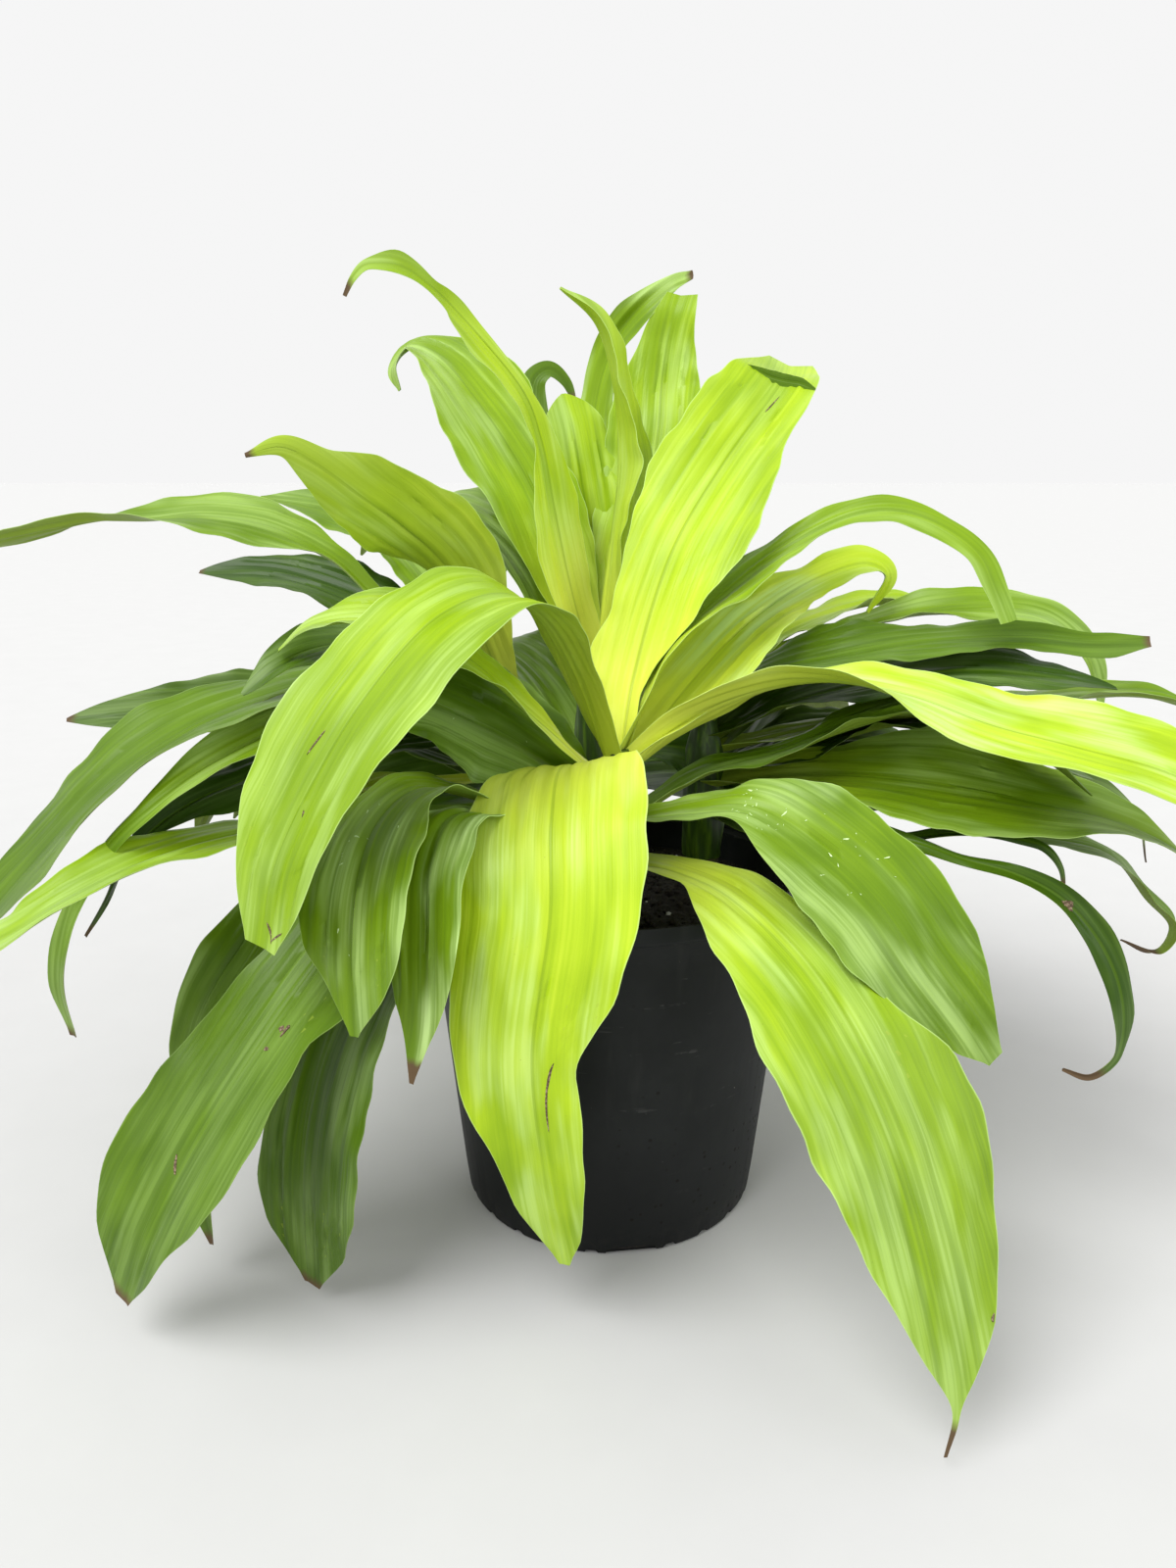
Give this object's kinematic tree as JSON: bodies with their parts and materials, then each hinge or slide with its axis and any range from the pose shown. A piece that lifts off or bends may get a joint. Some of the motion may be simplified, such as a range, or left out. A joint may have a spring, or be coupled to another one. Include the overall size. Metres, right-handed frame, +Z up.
{
  "type": "potted dracaena",
  "caption": "Broad-leaved dracaena with arching lime and green leaves, crowded crowns on short stems, standing in soil in a round dark plastic nursery pot.",
  "frame": {"origin": "centre of the pot's flat base, on the surface that the pot stands on", "axes": "+Z up along the pot's axis; the front of the plant, as the picture shows it, faces -Y; +X is to its right"},
  "size_m": [0.823, 0.6744, 0.6228],
  "materials": {
    "pot_plastic": "dark grey, semi-matt, dusty and scuffed",
    "soil": "dark crumbly potting soil with a few white specks",
    "stem": "pale brown, ringed with leaf scars",
    "leaf_lime": "lime green, satin, paler at the foot and the margins",
    "leaf_green": "mid green, satin, with fine lengthwise veins"
  },
  "bodies": {
    "root": {"pot": "pot_plastic", "soil": "soil", "stem_front": "stem", "leaves_front": "leaf_lime", "stem_back": "stem", "leaves_back": "leaf_green", "stem_left": "stem", "leaves_left": "leaf_green", "stem_right": "stem", "leaves_right": "leaf_green"}
  },
  "joints": []
}
